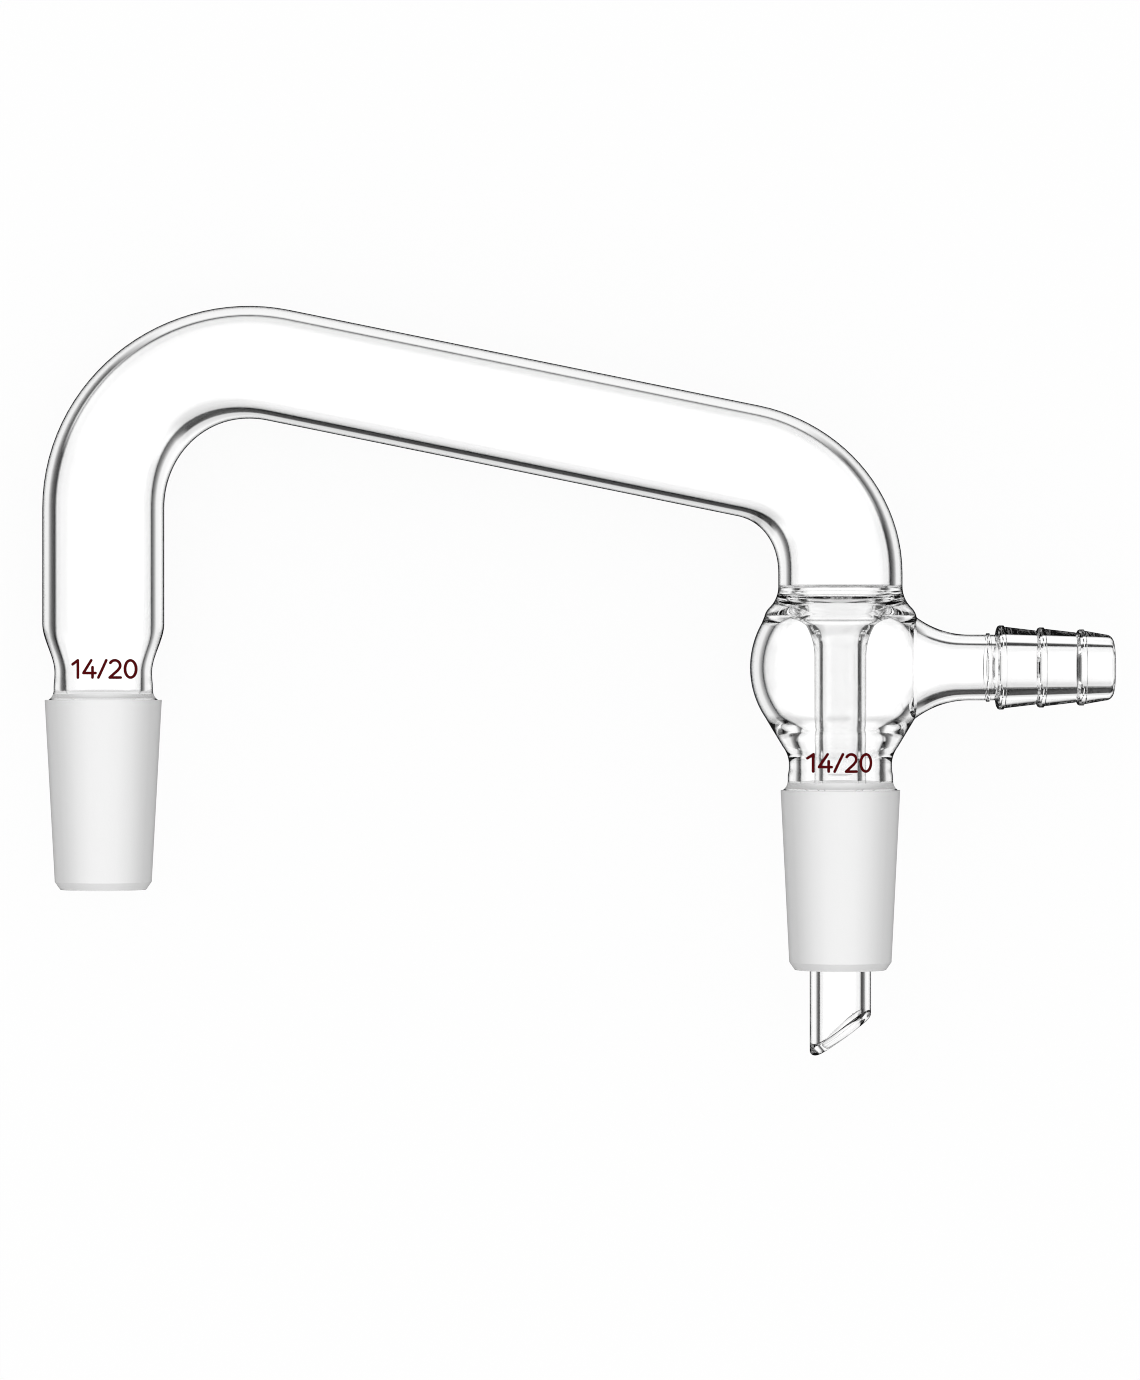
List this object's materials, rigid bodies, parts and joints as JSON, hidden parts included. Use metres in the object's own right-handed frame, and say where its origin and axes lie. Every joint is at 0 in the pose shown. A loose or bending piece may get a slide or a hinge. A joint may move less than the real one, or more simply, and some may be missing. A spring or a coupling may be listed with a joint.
{
  "type": "vacuum take-off adapter",
  "caption": "Clear glass distillation adapter: bent tube with a ground cone, bulb with inner drip tube, second ground cone and a side arm with a hose barb.",
  "frame": {"origin": "middle of the box round the adapter as it lies on its back, on the surface that it lies on", "axes": "+X along the span from the inlet leg to the outlet leg and the hose barb, +Y up both legs towards the span as in use, +Z away from the surface it lies on"},
  "size_m": [0.1318, 0.0928, 0.0221],
  "materials": {
    "borosilicate_glass": "clear fire-polished glass, with the two tapered cones ground to an even frost"
  },
  "bodies": {
    "root": {"glass_body": "borosilicate_glass"}
  },
  "joints": []
}
